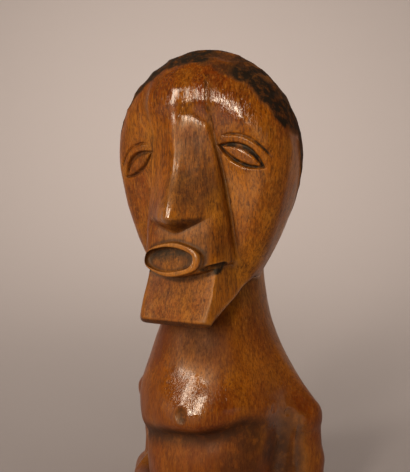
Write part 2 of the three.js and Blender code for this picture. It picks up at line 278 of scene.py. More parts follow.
# Places that no hand polishes, the same way
DULL = (
    (9, 31, 141, 14, 1), (8, 29, 162, 12, 0.7), (8, 22, 84, 18, 1), (0, 30, 99, 20, 1),
    (-4, 32, 116, 15, 1), (15, 26, 126, 12, 0.6), (-4, 21, 92, 16, 0.9),
    (24, 18, 40, 12, 1), (0, 25, 40, 14, 0.7), (-20, 20, 38, 12, 0.7),
)

# Places that are polished by handling, the same way. The rest is satin
POLISH = (
    (18, 26, 182, 26, 1), (0, 31, 182, 16, 1), (0, 33, 158, 10, 0.7), (0, 38, 136, 7, 1),
    (2, 27, 62, 17, 1), (21, 22, 62, 9, 1), (36, 3, 54, 14, 1), (26, 21, 158, 10, 0.8),
)
POLISH_ON_EDGES = 0.4

# Undersides painted with shade: where the nose's begins and ends, and where the chin's ends
UNDER_NOSE_START_Z = (122, 125)
UNDER_NOSE_END_Z = (134, 137)
UNDER_NOSE_X = (-3, 6)  # on the figure's right, towards the light, less shade is painted
UNDER_CHIN_END_Z = (93, 96)

# Painted shade: the colour turns darker and redder below the head, in two steps, for light that falls off
# lower down
DARKER_NECK_Z = (82, 100)
DARKER_CHEST_Z = (48, 72)


def through(pairs, z):
    """Smooth curve through [height, value] pairs, listed from the top down."""
    heights, values = np.array(pairs, float)[::-1].T
    slopes = np.empty_like(values)
    slopes[1:-1] = (values[2:] - values[:-2]) / (heights[2:] - heights[:-2])
    slopes[0] = (values[1] - values[0]) / (heights[1] - heights[0])
    slopes[-1] = (values[-1] - values[-2]) / (heights[-1] - heights[-2])
    level = np.clip(z, heights[0], heights[-1])
    i = np.clip(np.searchsorted(heights, level, side="right") - 1, 0, len(heights) - 2)
    step = heights[i + 1] - heights[i]
    t = (level - heights[i]) / step
    start = (1 + 2 * t) * (1 - t) ** 2 * values[i] + t * (1 - t) ** 2 * step * slopes[i]
    end = t * t * (3 - 2 * t) * values[i + 1] + t * t * (t - 1) * step * slopes[i + 1]
    return start + end


def join(a, b, r):
    """Both masses together, with a fillet of about r. A mass is a distance, negative inside the wood."""
    h = np.maximum(r - np.abs(a - b), 0) / r
    return np.minimum(a, b) - h * h * r * 0.25


def keep(a, b, r):
    """What both masses share, with its edge rounded by about r."""
    return -join(-a, -b, r)


def ramp(low, high, value):
    """0 below low, 1 above high, and smooth between."""
    t = np.clip((value - low) / (high - low), 0, 1)
    return t * t * (3 - 2 * t)


def bar(x, f, z, p, q):
    """Rounded bar on both sides of the figure, from p to q."""
    way = np.array(q[:3], float) - np.array(p[:3], float)
    ax, af, az = np.abs(x) - p[0], f - p[1], z - p[2]
    t = np.clip((ax * way[0] + af * way[1] + az * way[2]) / (way @ way), 0, 1)
    off = np.sqrt((ax - t * way[0]) ** 2 + (af - t * way[1]) ** 2 + (az - t * way[2]) ** 2)
    return off - (p[3] + (q[3] - p[3]) * t)


def jaw(f, z):
    """Underside of the skull and of the chin."""
    slope = (CHIN_TOE_Z + JAW_SLOPE * (CHIN_TOE_FORWARD - f) - z) / math.hypot(1, JAW_SLOPE)
    return np.minimum(NAPE_Z - z, slope)


def skull(x, f, z):
    """An egg that is cut back in front to the two planes of the face."""
    g = f - WIDEST_FORWARD
    depth = np.where(g > 0, FACE_FORWARD - WIDEST_FORWARD, HEAD_BACKWARD + WIDEST_FORWARD)
    plan = np.hypot(x / HEAD_HALF_WIDTH, g / depth)
    rise = z - WIDEST_Z
    dome = np.hypot(plan, rise / CROWN_RISE)
    above = np.sqrt(x * x + g * g + rise * rise) * (1 - 1 / np.maximum(dome, 1e-6))
    taper = plan / np.maximum(1 - (np.maximum(-rise, 0) / TAPER_LENGTH) ** TAPER_POWER, 0.05)
    below = np.hypot(x, g) * (1 - 1 / np.maximum(taper, 1e-6))
    face = (f - through(FACE_LEVEL, z) + FACE_SLOPE * np.abs(x)) * 0.96
    return keep(keep(np.where(rise >= 0, above, below), face, BROW_ROUNDING), jaw(f, z), 2)


def nose(x, f, z):
    """The long wedge from the forehead to the upper lip, with its undercut tip."""
    ridge = through(RIDGE, z)
    half_width = through(WEDGE_HALF_WIDTH, z)
    edge = through(WEDGE_EDGE, z)
    slope = (ridge - edge) / half_width
    front = ridge - slope * (np.hypot(x, RIDGE_ROUNDING) - 0.6 * RIDGE_ROUNDING)
    walls = (np.abs(x) - half_width - WALL_FLARE * (edge - f)) * 0.95
    wedge = keep((f - front) / np.hypot(1, slope), walls, 1.1)
    under = (NOSE_Z + NOSE_RISE * x * x + NOSE_UNDERCUT * (f - front) - z) / math.hypot(1, NOSE_UNDERCUT)
    rounding = NOSE_EDGE + TIP_ROUNDING * ramp(*TIP_Z, z) * (1 - ramp(*TIP_X, np.abs(x)))
    wedge = keep(wedge, np.minimum(under, f - LIP_FORWARD + LIP_CURVE * x * x), rounding)
    low = (MUZZLE_UNDER_Z + MUZZLE_UNDER_RISE * x * x - z) * 0.95
    return np.maximum(np.maximum(keep(wedge, low, 1), SLAB_BACK - f), z - NOSE_TOP)


def muzzle(x, f, z):
    """The broad form that carries the mouth."""
    half_width = through(WEDGE_HALF_WIDTH, z) - 0.2
    power = MUZZLE_SQUARENESS
    size = (np.abs(x / half_width) ** power + (np.maximum(f, 0) / MUZZLE_FORWARD) ** power) ** (1 / power)
    side = np.hypot(x, f) * (1 - 1 / np.maximum(size, 1e-6))
    low = (MUZZLE_UNDER_Z + MUZZLE_UNDER_RISE * x * x - z) * 0.95
    fade = (z - MUZZLE_TOP + (f - MUZZLE_FADE_FORWARD) * MUZZLE_FADE) / math.hypot(1, MUZZLE_FADE)
    return np.maximum(keep(keep(side, low, 1), fade, 4), SLAB_BACK - f)


def chin(x, f, z):
    """The square block, with a narrow bevel along its foot."""
    lean = (CHIN_TOE_FORWARD - CHIN_TOP_FORWARD) / (CHIN_TOP_Z - CHIN_TOE_Z)
    forward = CHIN_TOE_FORWARD - lean * (z - CHIN_TOE_Z)
    front = (f - forward) / math.hypot(1, lean)
    half_width = CHIN_HALF_WIDTH + CHIN_SKEW * (x < 0) * (1 - ramp(CHIN_TOE_Z, CHIN_TOP_Z, z))
    side = (np.abs(x) - half_width - CHIN_FLARE * (forward - f)) * 0.95
    behind = CHIN_TOE_FORWARD - CHIN_KEEL[0] - f
    under = (CHIN_TOE_Z + CHIN_KEEL[1] + CHIN_UNDER_SLOPE * behind - z) / math.hypot(1, CHIN_UNDER_SLOPE)
    toe = (CHIN_TOE_Z + CHIN_KEEL[1] - CHIN_BEVEL * behind - z) / math.hypot(1, CHIN_BEVEL)
    corner = CHIN_EDGE + CHIN_CORNER * (1 - ramp(*CHIN_CORNER_HEIGHT, z - CHIN_TOE_Z))
    block = keep(keep(front, np.maximum(under, toe), 1), side, corner)
    return np.maximum(keep(block, z - TRUNK_TOP, 2), 4 - f)


def mouth_oval(x, z, half_width, half_height):
    """1 on the mouth's outline: an oval with slight corners."""
    across, up = (x - MOUTH_X) / half_width, (z - MOUTH_Z) / half_height
    turn = np.arctan2(up, across)
    return np.hypot(across, up) * (1 + MOUTH_CORNERS * np.cos(6 * turn + 0.8))


def mouth_ring(x, f, z):
    """Oval boss, ended by its front face."""
    rim = (mouth_oval(x, z, MOUTH_HALF_WIDTH, MOUTH_HALF_HEIGHT) - 1) * MOUTH_HALF_HEIGHT
    face = f - MOUTH_FORWARD + MOUTH_CURVE * np.maximum(x, 0) ** 2
    return np.maximum(keep(rim, face, 0.9), 20 - f)


def scoop_oval(x, z):
    """1 on the inner edge of the lips."""
    return mouth_oval(x + SCOOP_SHIFT[0], z - SCOOP_SHIFT[1], MOUTH_HALF_WIDTH - LIP_WIDTH,
                      MOUTH_HALF_HEIGHT - LIP_WIDTH)


def mouth_scoop(x, f, z):
    """The hollow between the lips."""
    rim = (scoop_oval(x, z) - 1) * (MOUTH_HALF_HEIGHT - LIP_WIDTH)
    curve = MOUTH_CURVE * np.maximum(x, 0) ** 2
    floor = MOUTH_FORWARD - MOUTH_SCOOP - MOUTH_LEAN * (z - MOUTH_Z) - curve - f
    return keep(rim, floor, 0.7)


def mouth_shade(x, f, z):
    """How dark the mouth's floor is: it darkens upwards."""
    inside = 1 - ramp(0.85, 1.02, scoop_oval(x, z))
    return inside * (0.25 + 0.5 * ramp(-2, 3, z - MOUTH_Z - 0.1 * x)) * (f > 24)


def head(x, f, z):
    """Skull, nose, muzzle, chin and mouth together."""
    sunk = nose(x, f, z) + SINK * ramp(*SINK_Z, z)
    fillet = 0.8 + BLEND * ramp(*BLEND_Z, z) + MUZZLE_FOOT_BLEND * (1 - ramp(*MUZZLE_FOOT_Z, z))
    wood = join(skull(x, f, z), join(sunk, muzzle(x, f, z), 2.5), fillet)
    wood = keep(wood, -bar(x, f, z, NOTCH_FRONT, NOTCH_BACK), 0.6)
    wood = join(wood, chin(x, f, z), 0.8)
    wood = join(wood, mouth_ring(x, f, z), 0.8)
    return keep(wood, -mouth_scoop(x, f, z), 0.5)


def trunk(x, f, z):
    """Neck, chest and belly."""
    tilt = CHEST_TILT * x * np.exp(-((z - CHEST_EDGE_Z) / CHEST_TILT_REACH) ** 2)
    g = f - through(TRUNK_MIDDLE, z)
    across = np.abs(x / through(TRUNK_HALF_WIDTH, z)) ** TRUNK_SQUARENESS
    along = np.abs(g / through(TRUNK_HALF_DEPTH, z - tilt)) ** TRUNK_SQUARENESS
    size = (across + along) ** (1 / TRUNK_SQUARENESS)
    return np.hypot(x, g) * (1 - 1 / np.maximum(size, 1e-6))


def web(x, f, z):
    """Wood left between the upper arms and the trunk."""
    across = np.maximum(WEB_X[0] - np.abs(x), np.abs(x) - WEB_X[1])
    along = np.maximum(WEB_FORWARD[0] - f, f - WEB_FORWARD[1])
    return keep(np.maximum(across, along), z - WEB_TOP, 2)


def body(x, f, z):
    """Everything below the head."""
    mantle = join(np.maximum(trunk(x, f, z), z - TRUNK_TOP), bar(x, f, z, SHOULDER_ROOT, SHOULDER), 9)
    upper = join(bar(x, f, z, ARM_TOP, ARM_MIDDLE), bar(x, f, z, ARM_MIDDLE, ARM_END), 3)
    fore = join(bar(x, f, z, ELBOW, WRIST), bar(x, f, z, WRIST, HAND), 3)
    return join(join(join(mantle, upper, 3), fore, 1.5), web(x, f, z), ARM_FILLET)


def figure(x, f, z):
    """The whole figure before the carving, cut flat below."""
    return keep(join(head(x, f, z), body(x, f, z), 1.5), -z, BASE_ROUNDING)


def slope_of(x, f, z, step=0.05):
    """The mass's own direction of growth at each point: outwards."""
    gx = figure(x + step, f, z) - figure(x - step, f, z)
    gf = figure(x, f + step, z) - figure(x, f - step, z)
    gz = figure(x, f, z + step) - figure(x, f, z - step)
    return np.stack([gx, gf, gz]) / (2 * step)


def draw_on(points):
    """Draws points (3 rows: x, forward, z) onto the figure's surface. Returns them and their normals."""
    for _ in range(6):
        slope = slope_of(*points)
        pull = figure(*points) / np.maximum((slope ** 2).sum(0), 0.2)
        points = points - slope * np.clip(pull, -1, 1)
    slope = slope_of(*points)
    return points, slope / np.maximum(np.linalg.norm(slope, axis=0), 1e-6)


class Strokes:
    """Hollows left by a gouge or a knife: long dishes that lie side by side on the surface."""

    def __init__(self):
        self.middles, self.ways, self.lengths, self.widths, self.darks = [], [], [], [], []

    def add(self, middle, way, length, width, dark):
        self.middles.append(middle)
        self.ways.append(way / np.linalg.norm(way))
        self.lengths.append(length)
        self.widths.append(width)
        self.darks.append(dark)

    def scatter(self, points, normals, spacing, upright, sway, lengths, widths, seed):
        """Strokes at random but repeatable places, no middle nearer to another than the spacing."""
        chance = np.random.default_rng(seed)
        free = np.ones(points.shape[1], bool)
        for middle in self.middles:
            free &= ((points - middle[:, None]) ** 2).sum(0) > spacing ** 2
        for i in chance.permutation(points.shape[1]):
            if not free[i]:
                continue
            free &= ((points - points[:, i:i + 1]) ** 2).sum(0) > spacing ** 2
            level = np.array([-normals[1, i], normals[0, i] + 1e-6, 0])
            level /= np.linalg.norm(level)
            rising = np.cross(normals[:, i], level)
            turn = chance.normal(0, sway) + (math.pi / 2 if upright else 0)
            way = level * math.cos(turn) + rising * math.sin(turn)
            dark = chance.uniform(0, 1)
            self.add(points[:, i], way, chance.uniform(*lengths), chance.uniform(*widths), dark)

    def depth(self, points):
        """1 in the middle of a stroke's hollow, 0 on the ridges between, and each hollow's darkness."""
        nearest = np.ones(points.shape[1])
        dark = np.zeros(points.shape[1])
        strokes = zip(self.middles, self.ways, self.lengths, self.widths, self.darks)
        for middle, way, length, width, tone in strokes:
            off = points - middle[:, None]
            along = way @ off
            across = np.maximum((off ** 2).sum(0) - along ** 2, 0)
            size = (along / length) ** 2 + across / width ** 2
            dark = np.where(size < nearest, tone, dark)
            nearest = np.minimum(nearest, size)
        return 1 - nearest, dark


def eye_plane(x, f, z):
    """Places along the eye's axis, towards the temple, and above it."""
    inner, outer = np.array(EYE_INNER), np.array(EYE_OUTER)
    along = (outer - inner) / np.linalg.norm(outer - inner)
    up = np.cross(along, EYE_NORMAL)
    up = up / np.linalg.norm(up) * math.copysign(1, up[2])
    off = np.stack([np.abs(x), f, z]) - ((inner + outer) / 2)[:, None]
    return along @ off, up @ off, np.linalg.norm(outer - inner) / 2


def eye_cut(x, f, z):
    """Relief of the eyes, and how dark each point is painted: by how deep it lies in the grooves, with
    stain, and with painted shade in the brow's crease.
    """
    along, up, half = eye_plane(x, f, z)
    bow = 1 - (along / half) ** 2
    from_upper, from_lower = UPPER_LID * bow - up, up + LOWER_LID * bow
    inside = np.where(f > 10, np.minimum(from_upper, from_lower), -1)
    ball_edge = np.where(from_upper < from_lower, UPPER_BALL_EDGE, LOWER_BALL_EDGE)
    ball_edge = ball_edge * (0.45 + 0.55 * np.maximum(bow, 0))
    wall = np.minimum(LID_WALL, 0.6 * ball_edge)
    fall = ramp(0, 1, inside / wall)
    climb = ramp(0, 1, (inside - wall) / (ball_edge - wall))
    depth = fall * (LID_GROOVE + (BALL_SINK - LID_GROOVE) * climb)
    groove = fall * (1 - ramp(0.5, 1, climb))
    drop = np.where(along < CREASE_PEAK[0], CREASE_DROP[0], CREASE_DROP[1])
    above = up - CREASE_PEAK[1] + drop * (along - CREASE_PEAK[0]) ** 2
    ends = ramp(CREASE_ENDS[0], CREASE_ENDS[0] + 3, along)
    ends *= ramp(-CREASE_ENDS[1], 3 - CREASE_ENDS[1], -along)
    crease = ends * ramp(-CREASE_WIDTH, 0, above) * (1 - ramp(0, 0.5, above)) * (f > 10)
    # painted shade in the brow's crease, under its ledge, darker towards the temple
    darker = 0.5 + 0.5 * ramp(0, 7, along)
    side_shade = np.where(x > 0, 1, 0.6)  # the far eye faces the light and is painted lighter, with less shade
    return -depth - CREASE_DEPTH * crease, side_shade * np.maximum(0.9 * groove, darker * crease)


def hairline(x, f, z):
    """How far each point lies inside the hair, roughly in millimetres."""
    front = z - HAIRLINE_Z + HAIRLINE_DROP * x * x
    temple = (TEMPLE_FORWARD - TEMPLE_LEAN * (TEMPLE_Z - z) - f) * 0.9
    line = np.where(z > TEMPLE_Z, np.maximum(front, temple - 2), np.minimum(temple, z - NECKLINE_Z))
    wander = 0.8 * np.sin(x * 0.31 + 1) + 0.5 * np.sin(x * 0.83) + 0.6 * np.sin(z * 0.4)
    return line + wander


def wall_line(x, f, z):
    """1 in the knife line where the nose's wedge stands up from the cheek."""
    slab = join(nose(x, f, z), muzzle(x, f, z), 2.5)
    off = np.maximum(np.abs(slab), np.abs(skull(x, f, z)))
    return np.clip(1.2 - off / WALL_LINE, 0, 1) * (1 - ramp(166, 174, z)) * ramp(112, 124, z) * (f > 8)


def crack_cut(x, f, z):
    """1 in the drying crack of the forehead."""
    near = np.abs(x - through(CRACK, z) - 0.12 * np.sin(z * 0.7) - 0.08 * np.sin(z * 1.9)) / CRACK_WIDTH
    length = ramp(CRACK[-1][0], CRACK[-1][0] + 4, z) * (1 - ramp(CRACK[0][0] - 4, CRACK[0][0], z))
    return np.clip(1 - near, 0, 1) * length * (f > 15)


def dent_cut(x, f, z):
    """Depth of the small scars, and 1 in the dark ring of the large one."""
    depth = np.zeros_like(x)
    ring = np.zeros_like(x)
    for px, pf, pz, radius, deep in DENTS:
        off = np.sqrt((x - px) ** 2 + (f - pf) ** 2 + ((z - pz) * 0.8) ** 2) / radius
        rim = 0.25 * np.exp(-((off - 1.15) / 0.2) ** 2)
        depth += deep * (np.clip(1 - off ** 2, 0, 1) - rim)
        ring += np.exp(-((off - 0.75) / 0.28) ** 2) * (deep > RINGED_DEPTH)
    return depth, ring


def fold_cut(x, f, z):
    """Depth of the wood cut away under the chest's lower edge, and how deep in its shade each point is."""
    reach = ramp(*FOLD_FORWARD, f) * ramp(*FOLD_START_X, x) * (1 - ramp(*FOLD_END_X, x))
    reach *= 1 - 0.5 * ramp(*FOLD_HALVES_X, x)
    above = (z - through(FOLD, x)) / FOLD_HEIGHT
    depth = (1 - ramp(-0.1, 1, above)) * ramp(-1.8, 0.1, above)
    swell = SWELL * ramp(*SWELL_Z, z) * np.exp(-((x - SWELL_X) / SWELL_REACH) ** 2)
    swell *= ramp(*SWELL_FORWARD, f) * ramp(-0.3, 1.1, above)
    rim = FOLD_RIM * np.exp(-((above - 1.3) / 0.35) ** 2)
    rim *= ramp(*RIM_START_X, x) * (1 - ramp(*RIM_END_X, x)) * (f > FOLD_FORWARD[0])
    shade = (1 - ramp(0.3, 1.1, above)) * ramp(-0.9, 0.1, above)
    return FOLD_DEPTH * depth * reach - swell - rim, shade * reach


def brow_swell(x, f, z):
    """Height of the swelling over the near brow."""
    off = (z - BROW_Z + BROW_DROP * x * x) / BROW_REACH
    along = ramp(*BROW_START_X, x) * (1 - ramp(*BROW_END_X, x))
    return BROW_SWELL * np.exp(-off ** 2) * along * (f > 5)


class Carving:
    """Relief of the whole figure. The tool strokes are laid out once, on the first mesh."""

    def __init__(self, points, normals):
        haired = hairline(*points) > 0
        skin = ~haired & (points[2] > 4)
        self.gouges = Strokes()
        for start, end, width in HAIRLINE_CUTS:
            start, end = np.array(start, float), np.array(end, float)
            self.gouges.add((start + end) / 2, end - start, np.linalg.norm(end - start) * 0.6, width, 1)
        self.gouges.scatter(points[:, haired], normals[:, haired], GOUGE_SPACING, False, 0.45,
                            GOUGE_LENGTHS, GOUGE_WIDTHS, GOUGE_SEED)
        self.facets = Strokes()
        self.facets.scatter(points[:, skin], normals[:, skin], FACET_SPACING, True, 0.3, FACET_LENGTHS,
                            FACET_WIDTHS, FACET_SEED)

    def cut(self, points):
        """Height of the relief above the smooth surface, then stain and painted shade, hair and the fold's
        shade.
        """
        x, f, z = points
        inside = hairline(x, f, z)
        hair = ramp(-HAIR_EDGE / 2, HAIR_EDGE / 2, inside)
        gouge, dark = self.gouges.depth(points)
        facet = self.facets.depth(points)[0]
        eyes, groove = eye_cut(x, f, z)
        crack = crack_cut(x, f, z)
        fold, shade = fold_cut(x, f, z)
        dent, ring = dent_cut(x, f, z)
        line = wall_line(x, f, z)
        above_base = ramp(1, 5, z)
        deep = GOUGE_DEPTH * (GOUGE_SHALLOW + (1 - GOUGE_SHALLOW) * ramp(*GOUGE_DEEPER_Z, z))
        height = hair * (HAIR_RAISED - deep * gouge)
        height -= (1 - hair) * FACET_DEPTH * facet * above_base
        height += eyes - CRACK_DEPTH * crack - dent - fold + brow_swell(x, f, z) - WALL_LINE_DEPTH * line
        # painted shade inside the notch beside the mouth
        notch = 1 - ramp(-0.2, 0.8, bar(x, f, z, NOTCH_FRONT, NOTCH_BACK))
        gap = ramp(*BAND_GAP[0], x) * (1 - ramp(*BAND_GAP[1], x))
        band = ramp(0, 2, inside) * (1 - ramp(*HAIR_BAND, inside)) * (1 - 0.7 * gap)
        gouged = ramp(0, 0.8, gouge) * (0.2 + 0.8 * dark ** 0.9) * ramp(0.2, 0.7, hair)
        # stain in the hair's cuts and band, the eyes' grooves, the crack and the scar's ring; painted shade
        # in the notch, under the chest's fold and on the mouth's floor
        stain_and_shade = np.max([gouged, 0.85 * band, groove, 0.8 * crack, 0.9 * notch, 0.3 * shade, 0.6 * ring,
                        0.35 * line, mouth_shade(x, f, z)], axis=0)
        return height, stain_and_shade, hair, shade


# Mesh of the carving
FIRST_SPACING = 1.5
FINEST_EDGE = 0.4
REFINE_ANGLES = (11, 12.5, 16)  # degrees between faces past which they are divided again


def even_copy(solid, spacing):
    """Copy of a solid's mesh, merged and then remeshed to even faces."""
    merged = bmesh.new()
    merged.from_mesh(solid.data)
    bmesh.ops.remove_doubles(merged, verts=merged.verts, dist=0.001 * MM)
    mesh = bpy.data.meshes.new("carved_figure")
    merged.to_mesh(mesh)
    merged.free()
    piece = bpy.data.objects.new("carved_figure", mesh)
    bpy.context.collection.objects.link(piece)
    remesh = piece.modifiers.new("even faces", "REMESH")
    remesh.mode = "VOXEL"
    remesh.voxel_size = spacing * MM
    even = bpy.data.meshes.new_from_object(piece.evaluated_get(bpy.context.evaluated_depsgraph_get()))
    piece.modifiers.clear()
    piece.data = even
    even.name = "carved_figure"
    bpy.data.meshes.remove(mesh)
    return piece


def read_points(verts):
    """Coordinates of a bmesh's vertices as x, forward and z in millimetres."""
    places = np.array([v.co[:] for v in verts]).T / MM
    places[1] *= -1
    return places


def carve(piece):
    """Carves the mesh, with more faces where it bends. Returns each vertex's smooth place, its normal there,
    and its stain and painted shade, hair and the fold's shade."""
    bm = bmesh.new()
    bm.from_mesh(piece.data)
    bmesh.ops.triangulate(bm, faces=bm.faces)
    smooth = bm.verts.layers.float_vector.new("smooth_place")
    points, normals = draw_on(read_points(bm.verts))
    for v, place in zip(bm.verts, points.T):
        v.co = place[0], -place[1], place[2]
    bmesh.ops.smooth_vert(bm, verts=bm.verts, factor=0.5, use_axis_x=True, use_axis_y=True, use_axis_z=True)
    for v in bm.verts:
        v[smooth] = v.co[0], -v.co[1], v.co[2]
    carving = Carving(*draw_on(points))
    for angle in REFINE_ANGLES + (None,):
        points = np.array([v[smooth][:] for v in bm.verts]).T
        points, normals = draw_on(points)
        height, stain_and_shade, hair, shade = carving.cut(points)
        carved = points + normals * height
        for v, place, at in zip(bm.verts, points.T, carved.T):
            v[smooth] = place
            v.co = at[0], -at[1], at[2]
        if angle is None:
            break
        limit = math.radians(angle)
        corners = {v for e in bm.edges if e.calc_face_angle(0) > limit for v in e.verts}
        bent = [e for e in bm.edges if e.verts[0] in corners or e.verts[1] in corners]
        long = [e for e in bent if e.calc_length() > FINEST_EDGE]
        bmesh.ops.subdivide_edges(bm, edges=long, cuts=1)
        bmesh.ops.triangulate(bm, faces=bm.faces)
    print("carved figure:", len(bm.faces), "faces")
    bmesh.ops.scale(bm, verts=bm.verts, vec=(MM, MM, MM))
    bm.verts.layers.float_vector.remove(smooth)
    bm.to_mesh(piece.data)
    bm.free()
    piece.data.shade_smooth()
    return points, normals, stain_and_shade, hair, shade


def write_layer(mesh, name, values):
    layer = mesh.attributes.new(name, "FLOAT", "POINT")
    layer.data.foreach_set("value", values.astype(np.float32))


def hollow_and_edge(points, normals):
    """How closed in each point is, near and far, and how much it stands out as an edge. Near and far
    closeness are painted as shade in the hollows.
    """
    near = 1 - np.clip(figure(*(points + normals * 1.8)) / 1.8, 0, 1)
    far = 1 - np.clip(figure(*(points + normals * 14)) / 14, 0, 1)
    edge = 1 - np.clip(-figure(*(points - normals * 1.5)) / 1.5, 0, 1)
    return near, far, edge


def blobs(points, places):
    """How strongly each point lies in one of the places, which fade out round their middles."""
    strength = np.zeros(points.shape[1])
    for px, pf, pz, reach, amount in places:
        off = np.sqrt(((points - np.array([[px], [pf], [pz]])) ** 2).sum(0)) / reach
        strength = np.maximum(strength, amount * (1 - ramp(0.4, 1, off)))
    return strength


def overhang(points, normals):
    """1 on the undersides of the nose and of the chin's toe, where shade is painted."""
    x, f, z = points
    below_nose = ramp(*UNDER_NOSE_START_Z, z) * (1 - ramp(*UNDER_NOSE_END_Z, z)) * (f > 22)
    below_nose *= 0.2 + 0.8 * ramp(*UNDER_NOSE_X, x)
    below_chin = (1 - ramp(*UNDER_CHIN_END_Z, z)) * (z > 86) * (f > 27)
    return ramp(0.15, 0.5, -normals[2]) * np.maximum(below_nose, 0.95 * below_chin)


# Materials

def linear(hexcode):
    """sRGB hex to the linear colour that a shader takes."""
    parts = [int(hexcode[i:i + 2], 16) / 255 for i in (0, 2, 4)]
    return tuple(c / 12.92 if c <= 0.04045 else ((c + 0.055) / 1.055) ** 2.4 for c in parts) + (1,)


def node(tree, kind, inputs=(), **settings):
    """Adds a node with its settings and links. inputs is {socket name or number: value or socket}."""
    made = tree.nodes.new(kind)
    for name, value in settings.items():
        setattr(made, name, value)
    for key, value in dict(inputs).items():
        socket = made.inputs[key]
        if isinstance(value, bpy.types.NodeSocket):
            tree.links.new(value, socket)
        else:
            socket.default_value = value
    return made


# Wood's own patterns, laid one over the other. Each row is the pattern's size across the grain in
# millimetres, how many times longer it is along the grain, its detail and roughness, where it starts and
# where it is full, how much it covers, and its colour. Real pores are 0.2 mm wide: they are drawn about
# twice as wide, to show at all.
WOOD_PATTERN = (
    (24, 1.7, 3, 0.5, 0.40, 0.66, 0.9, "7a3208"),
    (15, 1.3, 3, 0.5, 0.50, 0.70, 0.6, "b8751c"),
    (7, 2.5, 4, 0.6, 0.50, 0.74, 0.6, "5f2c0a"),
    (2.4, 9, 3, 0.6, 0.46, 0.70, 0.6, "5a2707"),
    (1.1, 12, 2, 0.5, 0.56, 0.74, 0.45, "c67b20"),
    (0.5, 7, 2, 0.7, 0.50, 0.68, 0.7, "36160a"),
    (1.3, 2, 2, 0.6, 0.60, 0.70, 0.5, "3c1405"),
    (0.8, 4, 2, 0.7, 0.50, 0.64, 0.55, "421a06"),
    (0.7, 3, 2, 0.7, 0.53, 0.66, 0.28, "cc8430"),
)
PORES_ROW = 5  # the row that is also cut in as open pores, and dulls the polish

# The scraper's scratches cross at these angles. Real ones are 0.1 mm wide, and are drawn wider to show
SCRATCH_TURNS = (42, -38)
SCRATCH_WIDTH = 0.5
SCRATCH_LENGTH = 12
SCRATCH_DEPTH = 0.045
RIPPLE_WIDTH = 2
RIPPLE_LENGTH = 5
RIPPLE_DEPTH = 0.12

# Colour that follows the form: a layer of the mesh, where it starts and where it is full, how much it
# covers, the size of the noise that breaks it up in millimetres, and its colour
FORM_COLOURS = (
    # painted shade, darker lower down
    ("body", 0.0, 1.0, 0.72, 30, "6a2d09"),
    ("hair", 0.2, 0.8, 0.35, 9, "55300f"),
    # painted shade in the broad hollows
    ("painted_shade_far", 0.12, 0.7, 0.55, 14, "55260a"),
    ("edge", 0.06, 0.24, 0.36, 5, "bd7a30"),
    # soot, and painted shade under the overhangs, under the chest's fold and in the arm's hollow
    ("soot_and_shade", 0.0, 1.0, 0.85, 3, "35190a"),
    # painted shade in the creases and tight hollows
    ("painted_shade_near", 0.06, 0.45, 0.7, 4, "2a140a"),
    # stain, and painted shade in the notch, the fold, the mouth and the brow's crease
    ("stain_and_shade", 0.05, 0.8, 1, 2.6, "1c130d"),
)


